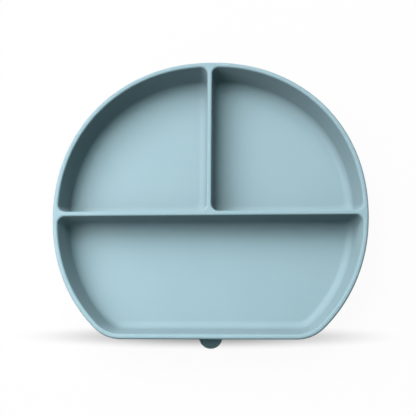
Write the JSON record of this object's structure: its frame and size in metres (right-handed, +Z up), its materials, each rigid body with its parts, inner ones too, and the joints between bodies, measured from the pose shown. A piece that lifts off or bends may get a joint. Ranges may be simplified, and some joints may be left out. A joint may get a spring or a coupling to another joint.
{
  "type": "divided silicone plate",
  "caption": "Round child's plate with a flat front edge, divided into a wide front pocket and smaller back pockets, on a shallow suction base with a pull tab.",
  "frame": {"origin": "middle of the plan, pull tab included, on the surface that the plate rests on", "axes": "+X across the plate to the right, +Y from the flat front edge to the round back, +Z up out of the pockets"},
  "size_m": [0.215, 0.1978, 0.03],
  "materials": {
    "silicone": "matte moulded silicone, grey-blue, with a soft sheen"
  },
  "bodies": {
    "root": {"plate": "silicone"}
  },
  "joints": []
}
